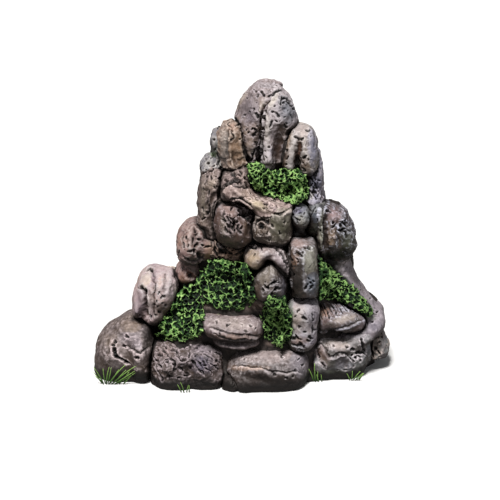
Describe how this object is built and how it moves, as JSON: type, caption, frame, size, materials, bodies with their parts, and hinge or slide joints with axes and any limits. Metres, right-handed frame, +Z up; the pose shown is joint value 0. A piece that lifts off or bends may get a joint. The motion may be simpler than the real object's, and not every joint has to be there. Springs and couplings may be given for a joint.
{
  "type": "resin cave ornament",
  "caption": "Rockery of stacked resin stones on a hollow cave shell with an arched rear mouth, moss mats in the crevices and turf tufts at the foot; a hide and backdrop for small fish.",
  "frame": {"origin": "on the standing plane, in the middle of the plan", "axes": "+Z up; -Y is the display front, with the cave mouth at +Y; +X is the viewer's right from the front; the plan is widest along X"},
  "size_m": [0.1438, 0.0796, 0.1407],
  "materials": {
    "shell_resin": "matte",
    "brown_stone": "matte",
    "pale_stone": "matte",
    "grey_stone": "matte",
    "dark_stone": "matte",
    "moss_flock": "matte",
    "turf_blades": "satin"
  },
  "bodies": {
    "root": {"arch_cap_stone": "pale_stone", "arch_lower_stone": "brown_stone", "bottom_centre_boulder": "brown_stone", "bottom_left_boulder": "brown_stone", "bottom_left_mid_boulder": "brown_stone", "bottom_right_boulder": "brown_stone", "bottom_small_stone": "dark_stone", "brow_ledge": "brown_stone", "cave_shell": "shell_resin", "centre_block": "pale_stone", "crevice_stone": "dark_stone", "crinkled_ledge": "dark_stone", "far_right_stone": "grey_stone", "left_finger_stone": "brown_stone", "left_ledge_stone": "pale_stone", "left_mid_boulder": "brown_stone", "left_pale_stone": "pale_stone", "left_small_finger": "brown_stone", "left_upper_column": "brown_stone", "moss_mat_centre": "moss_flock", "moss_mat_left_lower": "moss_flock", "moss_mat_left_upper": "moss_flock", "moss_mat_right": "moss_flock", "moss_mat_upper": "moss_flock", "rear_bottom_left": "brown_stone", "rear_bottom_right": "brown_stone", "rear_haunch_left": "brown_stone", "rear_haunch_right": "brown_stone", "rear_jamb_left": "brown_stone", "rear_jamb_right": "brown_stone", "rear_left_shoulder": "brown_stone", "rear_lintel": "brown_stone", "rear_mid_centre": "brown_stone", "rear_mid_left": "brown_stone", "rear_mid_right": "brown_stone", "rear_right_shoulder": "brown_stone", "rear_spire": "brown_stone", "rear_upper_centre": "brown_stone", "rear_upper_left": "brown_stone", "rear_upper_right": "brown_stone", "right_boulder": "brown_stone", "right_finger_stone": "pale_stone", "right_grey_column": "grey_stone", "right_ledge_stone": "pale_stone", "right_neck": "grey_stone", "right_shoulder_slope": "grey_stone", "right_slope_stone": "brown_stone", "summit_left_slab": "brown_stone", "summit_right_slab": "grey_stone", "tall_column_stone": "pale_stone", "turf_tuft_far_right": "turf_blades", "turf_tuft_front": "turf_blades", "turf_tuft_left": "turf_blades", "turf_tuft_right": "turf_blades", "upper_left_boulder": "brown_stone", "upper_right_boulder": "brown_stone", "upper_small_stone": "brown_stone"}
  },
  "joints": []
}
